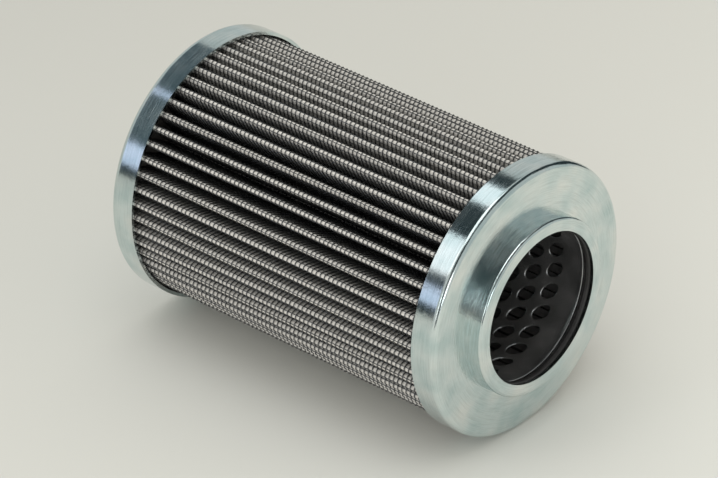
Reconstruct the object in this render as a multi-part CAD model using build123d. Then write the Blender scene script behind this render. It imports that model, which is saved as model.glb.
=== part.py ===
from build123d import *
import math
import os

# Pleated hydraulic filter element standing on its closed end cap.
# Millimetres, +Z up, origin at the centre of the bottom face.

# --- end caps, drawn from sheet ---
cap_radius = 34.0
sheet = 0.8
cap_corner = 1.6
body_length = 100.0
open_skirt = 6.7
closed_skirt = 6.9

# --- collar round the inlet of the open cap ---
collar_radius = 22.2
collar_lip = 3.2
collar_height = 4.1
collar_corner = 0.9

# --- pleated pack: wire cloth, medium, wire cloth ---
pleat_count = 56
pleat_to_skirt = 0.4
tip_half_width = 0.85
valley_half_gap = 0.1
wire_cloth = 0.22
medium = 0.36
layer_clearance = 0.02
pleat_drift = 1.6
drift_waves = 3

# --- core tube ---
core_wall = 0.8
core_lip_setback = 0.4
hole_radius = 2.6
hole_rows = 6
holes_per_row = 4
hole_margin = 12.0

# --- adhesive and seal ---
potting_depth = 3.0
clearance = 0.05
seal_radius = 1.1
seal_squeeze = 0.2
seal_sides = 12

bore_radius = collar_radius - collar_lip
pleat_outer_radius = cap_radius - sheet - pleat_to_skirt
core_outer_radius = collar_radius - sheet - clearance
core_inner_radius = core_outer_radius - core_wall
core_lip_radius = bore_radius + core_lip_setback
core_top = body_length + collar_height - sheet - 2 * (seal_radius + clearance)
pack_thickness = 2 * wire_cloth + medium + 2 * layer_clearance
valley_radius = core_outer_radius + clearance + pack_thickness
pack_bottom = sheet + potting_depth
pack_top = body_length - sheet - potting_depth
tip_centre_radius = pleat_outer_radius - tip_half_width


def polar(radius, angle, across=0.0):
    """A point at a radius along a direction, moved sideways by across."""
    x = radius * math.cos(angle) - across * math.sin(angle)
    y = radius * math.sin(angle) + across * math.cos(angle)
    return (x, y)


def tip_angle(index):
    """Direction of a fold; the spacing drifts slowly round the pack, as in a hand-closed one."""
    even = 2 * math.pi * index / pleat_count
    return even + math.radians(pleat_drift) * math.sin(drift_waves * even)


def tip_edges(angle, half_width, rounded):
    """The outer fold of one pleat, round or as three flats."""
    start = polar(tip_centre_radius, angle, -half_width)
    end = polar(tip_centre_radius, angle, half_width)
    crown = tip_centre_radius + half_width
    if rounded:
        return [ThreePointArc(start, polar(crown, angle), end)]
    flat = half_width * math.tan(math.pi / 8)
    return [Polyline(start, polar(crown, angle, -flat), polar(crown, angle, flat), end)]


def fold_outline(depth, rounded=False):
    """The closed zigzag at a depth below the face of the pack."""
    edges = []
    for index in range(pleat_count):
        angle = tip_angle(index)
        next_angle = tip_angle(index + 1)
        valley = (angle + next_angle) / 2
        half_width = tip_half_width - depth
        half_gap = valley_half_gap + depth
        floor = valley_radius - depth
        down_and_up = Polyline(
            polar(tip_centre_radius, angle, half_width),
            polar(floor, valley, -half_gap),
            polar(floor, valley, half_gap),
            polar(tip_centre_radius, next_angle, -half_width),
        )
        for line in tip_edges(angle, half_width, rounded) + [down_and_up]:
            edges += line.edges()
    return Face(Wire(edges))


def pleated_layer(depth, thickness, rounded=False):
    """One layer of the pack, folded with the others."""
    ring = fold_outline(depth, rounded) - fold_outline(depth + thickness)
    height = pack_top - pack_bottom
    return Pos(0, 0, pack_bottom) * extrude(ring, height)


def ring_of(outline):
    """A turned solid from an outline in the XZ plane."""
    return revolve(Plane.XZ * outline, Axis.Z)


def end_cap_closed():
    """A shallow drawn cup with a plain floor."""
    inner = cap_radius - sheet
    points = [
        (0, 0),
        (cap_radius, 0),
        (cap_radius, closed_skirt),
        (inner, closed_skirt),
        (inner, sheet),
        (0, sheet),
    ]
    outline = make_face(Polyline(*points, close=True))
    corner = outline.vertices().sort_by_distance((cap_radius, 0, 0))[0]
    return ring_of(fillet(corner, cap_corner))


def end_cap_open():
    """A drawn cup whose face rises into a collar that is turned in to the inlet."""
    top = body_length + collar_height
    skirt = body_length - open_skirt
    inner = cap_radius - sheet
    points = [
        (cap_radius, skirt),
        (cap_radius, body_length),
        (collar_radius, body_length),
        (collar_radius, top),
        (bore_radius, top),
        (bore_radius, top - sheet),
        (collar_radius - sheet, top - sheet),
        (collar_radius - sheet, body_length - sheet),
        (inner, body_length - sheet),
        (inner, skirt),
    ]
    outline = make_face(Polyline(*points, close=True))
    rounds = [
        (cap_radius, body_length, cap_corner),
        (collar_radius, top, collar_corner),
    ]
    for x, y, radius in rounds:
        corner = outline.vertices().sort_by_distance((x, y, 0))[0]
        outline = fillet(corner, radius)
    return ring_of(outline)


def core_tube():
    """The perforated tube inside the pleats; its turned-in end carries the seal."""
    height = core_top - sheet
    tube = Cylinder(core_outer_radius, height) - Cylinder(core_inner_radius, height)
    lip = extrude(Circle(core_inner_radius) - Circle(core_lip_radius), core_wall)
    tube += Pos(0, 0, height / 2 - core_wall) * lip
    pitch = (height - 2 * hole_margin) / (hole_rows - 1)
    reach = core_outer_radius + core_wall
    drill = Rot(0, 90, 0) * Cylinder(hole_radius, reach, align=(Align.CENTER, Align.CENTER, Align.MIN))
    holes = []
    for row in range(hole_rows):
        lift = hole_margin + row * pitch - height / 2
        for place in range(holes_per_row):
            turn = 360 / holes_per_row * (place + 0.5 * (row % 2))
            holes.append(Pos(0, 0, lift) * Rot(0, 0, turn) * drill)
    return Pos(0, 0, sheet + height / 2) * (tube - holes)


def potting(bottom):
    """The ring of set adhesive that the pleats are bedded in."""
    outer = cap_radius - sheet - clearance
    inner = core_outer_radius + clearance
    return Pos(0, 0, bottom) * extrude(Circle(outer) - Circle(inner), potting_depth)


def o_ring_seal():
    """The seal held under the lip of the collar, turned from a many-sided round section."""
    centre = bore_radius + seal_radius - seal_squeeze
    height = body_length + collar_height - sheet - seal_radius - clearance
    section = Pos(centre, height) * RegularPolygon(seal_radius, seal_sides)
    return ring_of(section)


face = wire_cloth + layer_clearance
parts = {
    "end_cap_open": end_cap_open(),
    "end_cap_closed": end_cap_closed(),
    "outer_wire_cloth": pleated_layer(0.0, wire_cloth, rounded=True),
    "filter_medium": pleated_layer(face, medium),
    "inner_wire_cloth": pleated_layer(face + medium + layer_clearance, wire_cloth),
    "core_tube": core_tube(),
    "potting_closed_end": potting(sheet),
    "potting_open_end": potting(pack_top),
    "o_ring_seal": o_ring_seal(),
}

os.makedirs("parts", exist_ok=True)
for name, shape in parts.items():
    solids = shape.solids()
    print(name, len(solids), round(sum(solid.volume for solid in solids), 1))
    export_step(shape, f"parts/{name}.step")
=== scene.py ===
# %% [markdown]
# # A pleated hydraulic filter element
# The element is a folded pack of cloth between two plated caps. The CAD model gives every size, and
# most of its pieces are shown as they are: the caps, the layers under the wire, the adhesive and the
# seal. This lesson adds what is too fine for that model, the woven wire and the closely punched core,
# and then the finishes, the light and the camera.

# %% Load the fixed frame
import math

import bmesh
import bpy
from mathutils import Matrix, Vector


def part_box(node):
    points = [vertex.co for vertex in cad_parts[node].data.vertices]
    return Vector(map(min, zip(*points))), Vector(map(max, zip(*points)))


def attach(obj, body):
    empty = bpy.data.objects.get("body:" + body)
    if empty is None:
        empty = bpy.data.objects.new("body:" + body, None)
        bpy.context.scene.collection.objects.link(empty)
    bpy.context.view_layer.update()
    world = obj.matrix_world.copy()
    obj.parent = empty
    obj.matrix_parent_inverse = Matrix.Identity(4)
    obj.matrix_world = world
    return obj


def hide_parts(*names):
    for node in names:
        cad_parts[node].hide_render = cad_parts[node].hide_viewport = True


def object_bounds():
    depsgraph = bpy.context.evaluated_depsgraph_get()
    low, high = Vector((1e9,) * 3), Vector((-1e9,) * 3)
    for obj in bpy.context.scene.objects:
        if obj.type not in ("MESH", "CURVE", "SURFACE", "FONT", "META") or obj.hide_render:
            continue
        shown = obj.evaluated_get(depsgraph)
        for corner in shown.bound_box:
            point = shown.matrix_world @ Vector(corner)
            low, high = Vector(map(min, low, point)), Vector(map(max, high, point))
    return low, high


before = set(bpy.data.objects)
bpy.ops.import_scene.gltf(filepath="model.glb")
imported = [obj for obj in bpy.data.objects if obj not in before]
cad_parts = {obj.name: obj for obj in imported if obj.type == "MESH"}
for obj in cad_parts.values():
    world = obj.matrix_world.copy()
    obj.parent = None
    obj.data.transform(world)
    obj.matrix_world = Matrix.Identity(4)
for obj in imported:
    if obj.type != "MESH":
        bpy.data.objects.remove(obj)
cad_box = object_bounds()
print("CAD box", cad_box)

# %% [markdown]
# ## Where the folds run
# The woven wire follows the outer face of the pack: a round fold at the outside, a narrow valley next
# to the core, and straight flanks between them. That line could be searched for in the CAD mesh, whose
# triangles come in no order. It is shorter to work it out again from the same few sizes, and the points
# then come in order. The spacing drifts a little round the pack, because such a pack is closed by hand.

# %% Sizes of the folds, in metres
PLEATS = 56
TIP_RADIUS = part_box("outer_wire_cloth")[1][0]
TIP_HALF_WIDTH = 0.00085
TIP_STEPS = 6
VALLEY_HALF_GAP = 0.0001
CORE_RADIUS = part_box("core_tube")[1][0]
CORE_TO_PACK = 0.00005
PACK_THICKNESS = 0.00084
VALLEY_RADIUS = CORE_RADIUS + CORE_TO_PACK + PACK_THICKNESS
DRIFT = math.radians(1.6)
DRIFT_WAVES = 3
print("tips at", TIP_RADIUS, "valleys at", VALLEY_RADIUS)


# %% The line that a wire follows round the pack
def fold_angle(index):
    even = 2 * math.pi * index / PLEATS
    return even + DRIFT * math.sin(DRIFT_WAVES * even)


def polar(radius, angle, across=0.0):
    x = radius * math.cos(angle) - across * math.sin(angle)
    y = radius * math.sin(angle) + across * math.cos(angle)
    return Vector((x, y, 0.0))


def fold_line(depth):
    """Points of the closed zigzag at a depth below the face of the pack."""
    centre = TIP_RADIUS - TIP_HALF_WIDTH
    round_radius = TIP_HALF_WIDTH - depth
    line = []
    for index in range(PLEATS):
        angle = fold_angle(index)
        valley = (angle + fold_angle(index + 1)) / 2
        for step in range(TIP_STEPS + 1):
            turn = math.pi * (step / TIP_STEPS - 0.5)
            line.append(polar(centre + round_radius * math.cos(turn), angle, round_radius * math.sin(turn)))
        line.append(polar(VALLEY_RADIUS - depth, valley, -VALLEY_HALF_GAP - depth))
        line.append(polar(VALLEY_RADIUS - depth, valley, VALLEY_HALF_GAP + depth))
    return line


print("points in one turn of wire", len(fold_line(0.0)))

# %% [markdown]
# ## Finishes are made of nodes
# Plate, felt, steel and rubber differ in colour, in shine and in grain. They could be painted as
# pictures, but a picture has to be wrapped round each piece and goes soft when it is seen close. Here
# every finish is a small tree of nodes that reads Object coordinates, so it stays on the piece and is
# sharp from anywhere. A few helpers keep the trees short.


# %% A small kit for finishes
def new_material(name):
    material = bpy.data.materials.new(name)
    material.use_nodes = True
    tree = material.node_tree
    shader = tree.nodes["Principled BSDF"]
    return material, tree, shader


def node(tree, kind, values=None, **settings):
    made = tree.nodes.new(kind)
    for key, value in settings.items():
        setattr(made, key, value)
    for key, value in (values or {}).items():
        made.inputs[key].default_value = value
    return made


def object_place(tree):
    return node(tree, "ShaderNodeTexCoord").outputs["Object"]


def maths(tree, operation, first, second=0.0):
    made = node(tree, "ShaderNodeMath", operation=operation)
    for place, value in enumerate((first, second)):
        if isinstance(value, (int, float)):
            made.inputs[place].default_value = value
        else:
            tree.links.new(value, made.inputs[place])
    return made.outputs[0]


def scaled(tree, value, width, base):
    """A value that is stretched to a width and added to a base."""
    return maths(tree, "ADD", maths(tree, "MULTIPLY", value, width), base)


# %% Noise, colour and relief
def noise(tree, vector, scale, detail):
    made = node(tree, "ShaderNodeTexNoise", {"Scale": scale, "Detail": detail})
    tree.links.new(vector, made.inputs["Vector"])
    return made.outputs["Fac"]


def ramp(tree, value, stops):
    made = node(tree, "ShaderNodeValToRGB")
    elements = made.color_ramp.elements
    while len(elements) < len(stops):
        elements.new(0.5)
    for element, (position, colour) in zip(elements, stops):
        element.position = position
        element.color = (*colour, 1.0)
    tree.links.new(value, made.inputs[0])
    return made.outputs[0]


def mixed_colour(tree, first, second, factor, blend="MIX"):
    made = node(tree, "ShaderNodeMix", data_type="RGBA", blend_type=blend)
    if isinstance(factor, float):
        made.inputs["Factor"].default_value = factor
    else:
        tree.links.new(factor, made.inputs["Factor"])
    tree.links.new(first, made.inputs["A"])
    tree.links.new(second, made.inputs["B"])
    return made.outputs["Result"]


def bump(tree, shader, height, strength, distance):
    made = node(tree, "ShaderNodeBump", {"Strength": strength, "Distance": distance})
    tree.links.new(height, made.inputs["Height"])
    tree.links.new(made.outputs[0], shader.inputs["Normal"])


# %% [markdown]
# ## Coordinates that run round the axis
# Drawn and turned sheet is marked by its tools, and the marks run round the axis. Stretched noise on
# plain coordinates would give straight scratches. So the radius, the angle and the height of each point
# are worked out, and noise reads those, with the angle scaled far less than the rest: it then draws
# long thin rings.


# %% Radius, angle and height
def round_coordinates(tree, angle_scale):
    """The radius, the scaled angle and the height of a point, and the radius alone."""
    parts = node(tree, "ShaderNodeSeparateXYZ")
    tree.links.new(object_place(tree), parts.inputs[0])
    x, y, z = parts.outputs
    squares = maths(tree, "ADD", maths(tree, "MULTIPLY", x, x), maths(tree, "MULTIPLY", y, y))
    radius = maths(tree, "SQRT", squares)
    angle = maths(tree, "ARCTAN2", y, x)
    joined = node(tree, "ShaderNodeCombineXYZ")
    tree.links.new(radius, joined.inputs[0])
    tree.links.new(maths(tree, "MULTIPLY", angle, angle_scale), joined.inputs[1])
    tree.links.new(z, joined.inputs[2])
    return joined.outputs[0], radius


# %% [markdown]
# ## Zinc plate on the caps
# Bright zinc looks pale grey with a slight green and blue cast. One plain grey metal would look like a
# mirror or like paint. Real plate is a metal whose colour sits in the reflection, with fine rings that
# break the reflection up, broad soft clouds that vary the tint and the shine, and small scuffs from
# handling.

# %% Marks in the plate: noise scales per metre, colours and shares
RINGS = 5200.0
RING_STRETCH = 0.0008
CLOUDS = 120.0
SCUFFS = 900.0
ZINC_TINTS = [(0.3, (0.53, 0.64, 0.645)), (0.5, (0.66, 0.74, 0.74)), (0.72, (0.78, 0.81, 0.79))]
RING_TONES = [(0.35, (0.86, 0.86, 0.86)), (0.55, (1.0, 1.0, 1.0))]
RING_ROUGHNESS = 0.10
CLOUD_ROUGHNESS = 0.14
SCUFF_ROUGHNESS = 0.06


# %% Zinc plate
def zinc_plate():
    material, tree, shader = new_material("zinc_plate_finish")
    around, _ = round_coordinates(tree, RING_STRETCH)
    rings = noise(tree, around, RINGS, detail=2.0)
    place = object_place(tree)
    clouds = noise(tree, place, CLOUDS, detail=5.0)
    scuffs = noise(tree, place, SCUFFS, detail=6.0)
    tint = ramp(tree, clouds, ZINC_TINTS)
    marked = mixed_colour(tree, tint, ramp(tree, rings, RING_TONES), 1.0, "MULTIPLY")
    tree.links.new(marked, shader.inputs["Base Color"])
    rough = scaled(tree, rings, RING_ROUGHNESS, maths(tree, "MULTIPLY", clouds, CLOUD_ROUGHNESS))
    rough = scaled(tree, scuffs, SCUFF_ROUGHNESS, rough)
    tree.links.new(rough, shader.inputs["Roughness"])
    shader.inputs["Metallic"].default_value = 1.0
    bump(tree, shader, maths(tree, "ADD", rings, scuffs), strength=0.35, distance=0.00004)
    return material


zinc_finish = zinc_plate()
print(zinc_finish.name, len(zinc_finish.node_tree.nodes), "nodes")

# %% [markdown]
# ## The pale medium under the wire
# Under the wire lies a felted layer: matt, pale and slightly uneven. Down in the folds its colour is
# painted darker, as painted shade where little light comes back, so its colour follows the radius.
# Between two wires the felt swells out, and each square of the weave reads as a small cushion. Modelling
# every cushion would cost far more than it shows, so a wave along the height, with the pitch of the
# wire, does it as relief.

# %% Sizes of the weave
PITCH = 0.00127
PACK_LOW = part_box("outer_wire_cloth")[0][2]
PACK_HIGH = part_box("outer_wire_cloth")[1][2]
ROWS = int((PACK_HIGH - PACK_LOW) / PITCH)
print("rows of wire", ROWS)

# %% Sizes and colours of the felt
FIBRES = 3500.0
PATCHES = 300.0
# Painted shade in the folds: full from DARK_BELOW under the tips, none above PALE_ABOVE.
DARK_BELOW = 0.0055
PALE_ABOVE = 0.0004
FADE_POWER = 1.5
PALE_FELT = [(0.25, (0.44, 0.445, 0.43)), (0.75, (0.70, 0.71, 0.69))]
# Painted shade: the felt's colours at the bottom of the folds.
FOLD_SHADE_FELT = [(0.3, (0.040, 0.042, 0.042)), (0.7, (0.085, 0.088, 0.087))]


# %% Felted medium
def cushions(tree, place, fibres):
    """A height that swells between two rows of wire, with some fibre in it."""
    parts = node(tree, "ShaderNodeSeparateXYZ")
    tree.links.new(place, parts.inputs[0])
    rows = maths(tree, "MULTIPLY", maths(tree, "SUBTRACT", parts.outputs[2], PACK_LOW), 2 * math.pi / PITCH)
    return scaled(tree, fibres, 0.5, maths(tree, "COSINE", rows))


def felted_medium():
    material, tree, shader = new_material("felted_medium_finish")
    place = object_place(tree)
    fibres = noise(tree, place, FIBRES, detail=6.0)
    patches = noise(tree, place, PATCHES, detail=3.0)
    _, radius = round_coordinates(tree, 1.0)
    # Painted shade: the colour darkens from the tips down into the folds, following the radius.
    limits = {"From Min": TIP_RADIUS - DARK_BELOW, "From Max": TIP_RADIUS - PALE_ABOVE}
    depth = node(tree, "ShaderNodeMapRange", limits)
    tree.links.new(radius, depth.inputs["Value"])
    near_tip = maths(tree, "POWER", depth.outputs[0], FADE_POWER)
    fold_shade = ramp(tree, patches, FOLD_SHADE_FELT)
    pale = ramp(tree, fibres, PALE_FELT)
    tree.links.new(mixed_colour(tree, fold_shade, pale, near_tip), shader.inputs["Base Color"])
    tree.links.new(scaled(tree, patches, 0.2, 0.55), shader.inputs["Roughness"])
    bump(tree, shader, cushions(tree, place, fibres), strength=0.8, distance=0.00012)
    return material


felt_finish = felted_medium()
print(felt_finish.name, len(felt_finish.node_tree.nodes), "nodes")

# %% [markdown]
# ## The other finishes
# The wire is dull and dark, the core is blackened steel with a shine, the adhesive is dark and set, and
# the seal is black rubber. Each could have a tree of its own, but they differ in numbers only: two
# tones that blend by noise, a roughness that follows the same noise, and a fine relief. One helper
# makes them all.


# %% A finish with two tones
def two_toned(name, dark, light, rough, metallic, grain, relief):
    material, tree, shader = new_material(name)
    spots = noise(tree, object_place(tree), grain, detail=5.0)
    tree.links.new(ramp(tree, spots, [(0.3, dark), (0.7, light)]), shader.inputs["Base Color"])
    tree.links.new(scaled(tree, spots, 0.2, rough), shader.inputs["Roughness"])
    shader.inputs["Metallic"].default_value = metallic
    bump(tree, shader, spots, strength=relief, distance=0.00005)
    print(name, "grain", grain)
    return material


# %% Wire, core, adhesive and seal
wire_finish = two_toned(
    "dull_wire_finish", (0.080, 0.082, 0.083), (0.20, 0.203, 0.205),
    rough=0.30, metallic=0.9, grain=1200.0, relief=0.2,
)
inner_wire_finish = two_toned(
    "inner_wire_finish", (0.02, 0.02, 0.02), (0.05, 0.05, 0.05),
    rough=0.45, metallic=0.5, grain=900.0, relief=0.3,
)
core_finish = two_toned(
    "blackened_steel_finish", (0.22, 0.23, 0.235), (0.46, 0.47, 0.48),
    rough=0.10, metallic=0.85, grain=160.0, relief=0.5,
)
adhesive_finish = two_toned(
    "set_adhesive_finish", (0.05, 0.05, 0.05), (0.11, 0.11, 0.10),
    rough=0.4, metallic=0.0, grain=500.0, relief=0.3,
)
rubber_finish = two_toned(
    "black_rubber_finish", (0.010, 0.010, 0.010), (0.025, 0.025, 0.026),
    rough=0.35, metallic=0.0, grain=1500.0, relief=0.1,
)

# %% The finish of each CAD piece
finishes = {
    "end_cap_open": zinc_finish,
    "end_cap_closed": zinc_finish,
    "filter_medium": felt_finish,
    "inner_wire_cloth": inner_wire_finish,
    "core_tube": core_finish,
    "potting_open_end": adhesive_finish,
    "potting_closed_end": adhesive_finish,
    "o_ring_seal": rubber_finish,
}
for name, material in finishes.items():
    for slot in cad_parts[name].material_slots:
        slot.material = material
print("finished nodes", sorted(finishes))

# %% [markdown]
# ## From a bmesh to a piece
# Every new piece is shaped as a bmesh, which is a mesh that operators can work on. It then becomes the
# mesh of an object that stays at the origin, unturned, with its place in its own points. A piece that
# is moved as an object would carry its pattern along with it.


# %% Two helpers for pieces
def finished_mesh(name, shape):
    """The mesh of a bmesh, which is freed."""
    mesh = bpy.data.meshes.new(name)
    shape.to_mesh(mesh)
    shape.free()
    return mesh


def new_piece(name, mesh, finish):
    mesh.materials.clear()
    mesh.materials.append(finish)
    piece = bpy.data.objects.new(name, mesh)
    bpy.context.collection.objects.link(piece)
    return piece


# %% [markdown]
# ## The wires round the pack
# The outer cloth is a plain weave with square openings of about a millimetre. Its wires would be lost
# in relief, because the folds show them against the light, so they are real. These wires run round the
# pack, down every fold and up again. A single turn is a closed curve with a round bevel, made a mesh,
# and an Array repeats it up the pack: that keeps the stored mesh small. The rows are halved so that
# neither piece grows too large.

# %% Sizes of the round wires
WIRE_RADIUS = 0.00015
WIRE_DEPTH = 0.00011
print("round wires", 2 * WIRE_RADIUS, "m thick")


# %% One turn of wire
def hoop_mesh(name):
    curve = bpy.data.curves.new(name, "CURVE")
    curve.dimensions = "3D"
    curve.bevel_depth = WIRE_RADIUS
    curve.bevel_resolution = 0
    line = fold_line(WIRE_DEPTH)
    spline = curve.splines.new("POLY")
    spline.points.add(len(line) - 1)
    for point, place in zip(spline.points, line):
        point.co = (*place, 1.0)
    spline.use_cyclic_u = True
    holder = bpy.data.objects.new(name, curve)
    bpy.context.collection.objects.link(holder)
    mesh = bpy.data.meshes.new_from_object(holder)
    bpy.data.objects.remove(holder)
    return mesh


# %% Stacks of turns
def hoop_stack(name, first, count):
    mesh = hoop_mesh(name)
    mesh.transform(Matrix.Translation((0, 0, PACK_LOW + PITCH * (first + 0.5))))
    piece = new_piece(name, mesh, wire_finish)
    array = piece.modifiers.new("rows", "ARRAY")
    array.use_relative_offset = False
    array.use_constant_offset = True
    array.constant_offset_displace = (0, 0, PITCH)
    array.count = count
    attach(piece, "root")
    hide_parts("outer_wire_cloth")
    print(name, "triangles", 2 * len(mesh.polygons) * count)


lower_rows = ROWS // 2
hoop_stack("weft_wires_lower", 0, lower_rows)
hoop_stack("weft_wires_upper", lower_rows, ROWS - lower_rows)

# %% [markdown]
# ## The wires along the folds
# The other wires of the weave run straight, along the length of the folds, so each is a thin prism.
# They could be an array along a curve, which bends and twists its copies. Walking along the fold line
# and setting a prism down after every pitch keeps them upright and evenly spaced, also where the line
# turns.

# %% Sizes of the straight wires
WARP_RADIUS = 0.00011
WARP_SIDES = 6
print("straight wires", 2 * WARP_RADIUS, "m thick")


# %% Set the wires down
def length_wires(name):
    line = fold_line(WIRE_DEPTH + WARP_RADIUS)
    half_way = Vector((0, 0, (PACK_LOW + PACK_HIGH) / 2))
    shape = bmesh.new()
    to_next = PITCH / 2
    count = 0
    for start, end in zip(line, line[1:] + line[:1]):
        step = end - start
        while to_next < step.length:
            spot = start + step * (to_next / step.length) + half_way
            bmesh.ops.create_cone(
                shape, cap_ends=True, segments=WARP_SIDES, radius1=WARP_RADIUS, radius2=WARP_RADIUS,
                depth=PACK_HIGH - PACK_LOW, matrix=Matrix.Translation(spot),
            )
            to_next += PITCH
            count += 1
        to_next -= step.length
    piece = new_piece(name, finished_mesh(name, shape), wire_finish)
    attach(piece, "root")
    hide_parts("outer_wire_cloth")
    print(name, count, "wires")


length_wires("warp_wires")

# %% [markdown]
# ## The perforated core
# The core is rolled from sheet punched with close rows of round holes. Each row is set on by half a
# hole, so the holes climb round the tube. The CAD tube has only a few holes. Cutting hundreds of them
# with booleans is slow and leaves ragged faces. Here a flat grid is inset and its middles are removed,
# which leaves square openings. The sheet is rolled up, its end is turned in under the seal, and
# subdivision rounds the openings.

# %% Sizes of the punched sheet
CORE_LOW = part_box("core_tube")[0][2]
CORE_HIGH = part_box("core_tube")[1][2]
CORE_SHEET = 0.0008
CORE_LIP_RADIUS = 0.0194
CORE_COLUMNS = 24
CORE_ROWS = 17
WEB = 0.00075
ROW_CLIMB = 0.5
SHEET_SHARE = 0.95
ROUNDING = 2
SAME_PLACE = 0.00001
core_middle = CORE_RADIUS - CORE_SHEET / 2
core_length = CORE_HIGH - CORE_LOW - CORE_SHEET
print("holes every", 2 * math.pi * core_middle / CORE_COLUMNS, "round the core")


# %% The flat sheet, rolled up
def punched_sheet():
    """A flat sheet with square openings, except in its first and last row."""
    shape = bmesh.new()
    bmesh.ops.create_grid(shape, x_segments=CORE_COLUMNS, y_segments=CORE_ROWS, size=0.5)
    bmesh.ops.scale(shape, vec=(2 * math.pi * core_middle, core_length, 1.0), verts=shape.verts)
    last_row = core_length / 2 - core_length / CORE_ROWS
    punched = [f for f in shape.faces if abs(f.calc_center_median().y) < last_row]
    bmesh.ops.inset_individual(shape, faces=punched, thickness=WEB, use_even_offset=True)
    bmesh.ops.delete(shape, geom=punched, context="FACES")
    return shape, len(punched)


def roll_up(shape):
    climb = ROW_CLIMB * 2 * math.pi / CORE_COLUMNS
    for vert in shape.verts:
        x, y, _ = vert.co
        angle = x / core_middle + climb * (y / core_length) * CORE_ROWS
        vert.co = polar(core_middle, angle)
        vert.co.z = CORE_LOW + CORE_SHEET / 2 + y + core_length / 2
    bmesh.ops.remove_doubles(shape, verts=shape.verts, dist=SAME_PLACE)


# %% The turned-in end
def turn_in_end(shape):
    top = max(v.co.z for v in shape.verts)
    rim = [e for e in shape.edges if e.is_boundary and all(v.co.z > top - SAME_PLACE for v in e.verts)]
    turned = bmesh.ops.extrude_edge_only(shape, edges=rim)["geom"]
    inward = [g for g in turned if isinstance(g, bmesh.types.BMVert)]
    shrink = CORE_LIP_RADIUS / core_middle
    bmesh.ops.scale(shape, vec=(shrink, shrink, 1.0), verts=inward)


# %% The finished core
def punched_core(name):
    shape, holes = punched_sheet()
    roll_up(shape)
    turn_in_end(shape)
    bmesh.ops.recalc_face_normals(shape, faces=shape.faces)
    for face in shape.faces:
        face.smooth = True
    piece = new_piece(name, finished_mesh(name, shape), core_finish)
    wall = piece.modifiers.new("sheet", "SOLIDIFY")
    wall.thickness = CORE_SHEET * SHEET_SHARE
    wall.offset = 0.0
    rounded = piece.modifiers.new("round_holes", "SUBSURF")
    rounded.levels = ROUNDING
    rounded.render_levels = ROUNDING
    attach(piece, "root")
    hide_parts("core_tube")
    print(name, holes, "holes")


punched_core("punched_core_tube")

# %% [markdown]
# ## How the element lies
# The CAD model stands on its closed cap, but such an element is mostly shown lying down. Turning the
# model would move it off its frame. So the floor, the lamps and the camera are turned instead: "up"
# points away from a floor that touches the rims of both caps.

# %% Directions, with the camera's place in metres
UP = Vector((0.4572, -0.8894, 0.0))
MIDDLE = Vector((0, 0, (cad_box[0][2] + cad_box[1][2]) / 2))
CAP_RADIUS = cad_box[1][0]
EYE = Vector((0.9055, -0.1977, 0.6632))
LOOK = Vector((-0.8143, 0.1806, -0.5516))
PICTURE_UP = Vector((0.0274, -0.9373, -0.3474))
SIDE = LOOK.cross(UP).normalized()
AWAY = UP.cross(SIDE).normalized()


def facing(spot, forward, upward):
    """A matrix at a spot that looks along forward, as lamps and cameras do."""
    back = -forward.normalized()
    right = upward.cross(back).normalized()
    top = back.cross(right)
    turned = Matrix((right, top, back)).transposed().to_4x4()
    return Matrix.Translation(spot) @ turned


print("to the side", SIDE, "away", AWAY)

# %% [markdown]
# ## The floor
# One even board would look flat, so this one has painted light: its colour is a little lighter near the
# viewer and to the right, and follows the place. It is seen from its front only: from behind it lets the
# view through.
# Light that the element scatters also passes it, so that the side that lies on it isn't black when it
# is looked at from there.

# %% Sizes and colour of the floor
FLOOR_COLOUR = (0.562, 0.590, 0.575)
FLOOR_SIZE = 2.5
FLOOR_SIDES = 64
BOARD_ROUGHNESS = 0.75
BOARD_SHINE = 0.2
# Painted light: the board's colour is FADE times darker far off and as much lighter near the viewer.
FADE = 0.85
FADE_LENGTH = 0.5


# %% The board's finish
def board_finish():
    material, tree, shader = new_material("pale_board")
    shader.inputs["Roughness"].default_value = BOARD_ROUGHNESS
    shader.inputs["Specular IOR Level"].default_value = BOARD_SHINE
    # Painted light across the board, lighter near the viewer and to the right.
    along = node(tree, "ShaderNodeVectorMath", {1: (SIDE - AWAY) / FADE_LENGTH}, operation="DOT_PRODUCT")
    tree.links.new(object_place(tree), along.inputs[0])
    across = maths(tree, "ADD", along.outputs["Value"], 0.5)
    far = tuple(c * FADE for c in FLOOR_COLOUR)
    near = tuple(c / FADE for c in FLOOR_COLOUR)
    tree.links.new(ramp(tree, across, [(0.0, far), (1.0, near)]), shader.inputs["Base Color"])
    clear = node(tree, "ShaderNodeBsdfTransparent")
    behind = node(tree, "ShaderNodeNewGeometry").outputs["Backfacing"]
    scattered = node(tree, "ShaderNodeLightPath").outputs["Is Diffuse Ray"]
    mix = node(tree, "ShaderNodeMixShader")
    tree.links.new(maths(tree, "MAXIMUM", behind, scattered), mix.inputs[0])
    tree.links.new(shader.outputs[0], mix.inputs[1])
    tree.links.new(clear.outputs[0], mix.inputs[2])
    tree.links.new(mix.outputs[0], tree.nodes["Material Output"].inputs["Surface"])
    return material


# %% The board
def floor():
    shape = bmesh.new()
    place = facing(MIDDLE - UP * CAP_RADIUS, -UP, SIDE)
    bmesh.ops.create_circle(shape, cap_ends=True, segments=FLOOR_SIDES, radius=FLOOR_SIZE, matrix=place)
    plane = new_piece("floor", finished_mesh("floor", shape), board_finish())
    print("floor", 2 * FLOOR_SIZE, "m across")


floor()

# %% [markdown]
# ## Lamps
# Small lamps would give hard shadows and sparkling wires. A wide soft lamp overhead gives the pale
# shadow under the element, a weaker one at the side rounds the caps, and one low in front opens up the
# folds.


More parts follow.
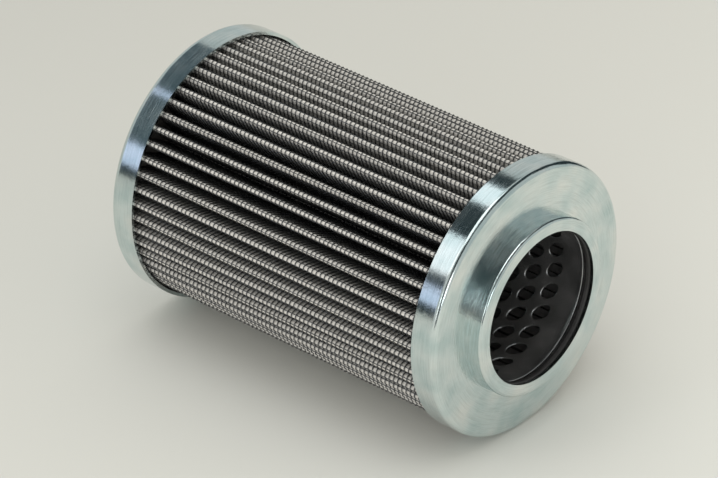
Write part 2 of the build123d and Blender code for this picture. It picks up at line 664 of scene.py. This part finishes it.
# %% Soft lamps: name, place, size in metres and power in watts
def soft_lamp(name, spot, size, power):
    lamp = bpy.data.lights.new(name, "AREA")
    lamp.shape = "RECTANGLE"
    lamp.size, lamp.size_y = size
    lamp.energy = power
    holder = bpy.data.objects.new(name, lamp)
    holder.matrix_world = facing(spot, MIDDLE - spot, PICTURE_UP)
    bpy.context.collection.objects.link(holder)
    print(name, power, "W")


soft_lamp("overhead", MIDDLE + UP * 2.6 - SIDE * 0.2 - AWAY * 0.3, (2.2, 2.2), 20.5)
soft_lamp("window", MIDDLE - SIDE * 1.6 + UP * 1.2 - LOOK * 0.9, (0.7, 0.9), 3.0)
soft_lamp("front_fill", MIDDLE - AWAY * 1.6 - SIDE * 0.3 + UP * 0.4, (1.6, 0.6), 7.0)

# %% [markdown]
# ## Cards that the metal sees
# Plated sheet has little colour of its own: it shows the room. A product table has black and white
# cards round it, and their edges give the caps crisp dark and light bands. The bands could be painted
# on the metal, but then they would stay there when the view changes. Each card is placed by reflection:
# the ray from the camera that meets the metal with some slope leaves it towards the card. The cards are
# seen by reflections only.

# %% Finishes of the cards
CARD_DISTANCE = 0.4


def card_finish(name, colour, strength):
    material = bpy.data.materials.new(name)
    material.use_nodes = True
    tree = material.node_tree
    tree.nodes.clear()
    glow = node(tree, "ShaderNodeEmission", {"Color": (*colour, 1.0), "Strength": strength})
    end = node(tree, "ShaderNodeOutputMaterial")
    tree.links.new(glow.outputs[0], end.inputs["Surface"])
    return material


black = card_finish("black_card", (0.030, 0.042, 0.046), 1.0)
dusk = card_finish("dusk_card", (0.085, 0.115, 0.13), 1.0)
white = card_finish("white_card", (0.95, 0.98, 1.0), 1.35)
bluish = card_finish("sky_card", (0.72, 0.80, 1.0), 1.1)


# %% A card placed by reflection
def round_normal(angle_deg, lift_deg=0.0):
    """A direction out of the cap at an angle round it, lifted towards its face."""
    angle = math.radians(angle_deg)
    lift = math.radians(lift_deg)
    return Vector((math.cos(angle) * math.cos(lift), math.sin(angle) * math.cos(lift), math.sin(lift)))


def mirrored(angle_deg):
    """The width that fills an angle of the metal, which turns a ray by twice that angle."""
    return CARD_DISTANCE * 2 * math.radians(angle_deg)


def card(name, start, normal, width, height, finish):
    bounce = LOOK - 2 * LOOK.dot(normal) * normal
    place = facing(start + bounce * CARD_DISTANCE, bounce, Vector((0, 0, 1)))
    stretch = Matrix.Diagonal((width, height, 1.0, 1.0))
    shape = bmesh.new()
    bmesh.ops.create_grid(shape, x_segments=1, y_segments=1, size=0.5, matrix=place @ stretch)
    sheet = new_piece(name, finished_mesh(name, shape), finish)
    sheet.visible_camera = False
    sheet.visible_diffuse = False
    sheet.visible_shadow = False


# %% [markdown]
# ## Bands on the skirts
# The skirts of the caps are cylinders, so each shows the cards as bands along the axis. A band is named
# by where it starts and ends round the cap, in degrees, and by its card. The closed cap stands further
# back and is calmer, so it gets the softer dark.

# %% Where the bands lie
FRONT_BANDS = [
    (-58, -50, black), (-50, -41, white), (-41, -24, black), (-24, -8, white),
    (-8, -3, black), (-3, 5, bluish), (5, 9, black),
]
REAR_BANDS = [
    (-56, -29, dusk), (-29, -27, bluish), (-27, -4, dusk),
    (-4, 5, bluish), (5, 9, black),
]
BAND_HEIGHT = 0.14
BAND_OUTWARD = 0.03
FRONT_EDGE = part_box("end_cap_open")[0][2]
REAR_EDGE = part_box("end_cap_closed")[1][2]


# %% Cards for the bands
def band_cards(name, bands, height):
    for number, (first, last, finish) in enumerate(bands):
        normal = round_normal((first + last) / 2)
        start = normal * CAP_RADIUS + Vector((0, 0, height))
        card(f"{name}_{number}", start, normal, mirrored(last - first), BAND_HEIGHT, finish)
    print(name, len(bands), "cards")


band_cards("front_band", FRONT_BANDS, FRONT_EDGE + BAND_OUTWARD)
band_cards("rear_band", REAR_BANDS, REAR_EDGE - BAND_OUTWARD)

# %% [markdown]
# ## The line along the rounded edge
# Where the skirt rounds into the face, a thin dark line parts the two. The edge faces half way between
# them, so it mirrors another part of the room, and a row of black cards is set there, each a step
# further round.

# %% Cards for the edge
EDGE_FIRST = -105
EDGE_LAST = 22
EDGE_STEP = 12
EDGE_LIFT = 30
EDGE_BAND = 14
EDGE_OVERLAP = 1.1
edge_angles = range(EDGE_FIRST, EDGE_LAST, EDGE_STEP)
for number, angle in enumerate(edge_angles):
    start = round_normal(angle) * CAP_RADIUS + Vector((0, 0, FRONT_EDGE))
    width = mirrored(EDGE_STEP) * EDGE_OVERLAP
    card(f"edge_card_{number}", start, round_normal(angle, EDGE_LIFT), width, mirrored(EDGE_BAND), black)
print("edge cards", len(edge_angles))

# %% [markdown]
# ## The room
# The room gives soft light from all round. A picture of a room could do it, but one even colour is
# calmer. Seen directly, or in a reflection, it is the same pale board as the floor, so that the floor
# has no visible edge. Its own light is a little warmer, and it is what fills the shadow on the floor.

# %% The world
ROOM_LIGHT = (0.88, 0.815, 0.73)
ROOM_STRENGTH = 1.03
world = bpy.data.worlds.new("pale_room")
world.use_nodes = True
tree = world.node_tree
room = tree.nodes["Background"]
room.inputs["Color"].default_value = (*ROOM_LIGHT, 1.0)
room.inputs["Strength"].default_value = ROOM_STRENGTH
shown = node(tree, "ShaderNodeBackground", {"Color": (*FLOOR_COLOUR, 1.0), "Strength": 1.0})
rays = node(tree, "ShaderNodeLightPath")
seen = maths(tree, "MAXIMUM", rays.outputs["Is Camera Ray"], rays.outputs["Is Transmission Ray"])
seen = maths(tree, "MAXIMUM", seen, rays.outputs["Is Glossy Ray"])
blend = node(tree, "ShaderNodeMixShader")
tree.links.new(seen, blend.inputs[0])
tree.links.new(room.outputs[0], blend.inputs[1])
tree.links.new(shown.outputs[0], blend.inputs[2])
tree.links.new(blend.outputs[0], tree.nodes["World Output"].inputs["Surface"])
bpy.context.scene.world = world
print("room", ROOM_STRENGTH)

# %% [markdown]
# ## The camera
# A short lens close by would swell the near cap. A long lens far away gives the flat, calm view of a
# product shot, with only a little perspective between the two caps.

# %% Camera
SENSOR_WIDTH = 36.0
LENS = 235.905
camera_data = bpy.data.cameras.new("camera")
camera_data.sensor_width = SENSOR_WIDTH
camera_data.lens = LENS
camera_data.clip_end = 20.0
camera = bpy.data.objects.new("camera", camera_data)
camera.matrix_world = facing(EYE, LOOK, PICTURE_UP)
bpy.context.collection.objects.link(camera)
bpy.context.scene.camera = camera
bpy.context.scene.view_settings.view_transform = "Standard"
print("lens", round(camera_data.lens, 1), "mm")
